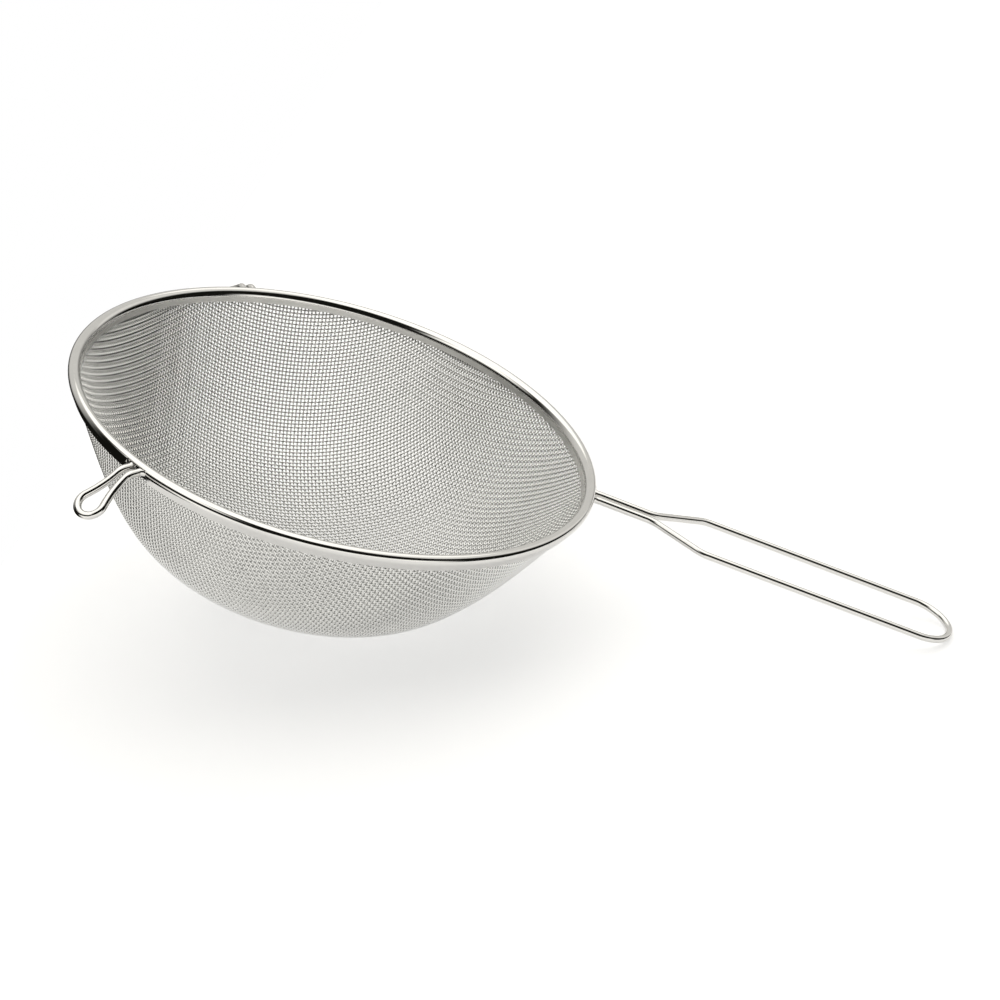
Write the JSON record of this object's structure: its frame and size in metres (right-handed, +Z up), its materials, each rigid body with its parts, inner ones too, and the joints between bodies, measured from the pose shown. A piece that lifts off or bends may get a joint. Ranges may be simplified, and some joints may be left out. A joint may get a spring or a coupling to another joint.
{
  "type": "bowl sieve",
  "caption": "Round bowl sieve: woven wire cloth clamped in a folded rim band, with a long wire loop handle and wire rest hooks, for sifting and straining.",
  "frame": {"origin": "on the surface that the sieve rests on, under the middle of its box", "axes": "+X towards the handle's end, +Z up with the sieve resting on its bowl and its handle's end, Y across the bowl"},
  "size_m": [0.3314, 0.2068, 0.107],
  "materials": {
    "polished_band": "polished stainless strip",
    "polished_wire": "polished stainless wire",
    "wire_cloth": "bright drawn woven wire"
  },
  "bodies": {
    "root": {"rim_band": "polished_band", "handle_wire": "polished_wire", "front_hook": "polished_wire", "rear_hook": "polished_wire", "mesh_bowl": "wire_cloth"}
  },
  "joints": []
}
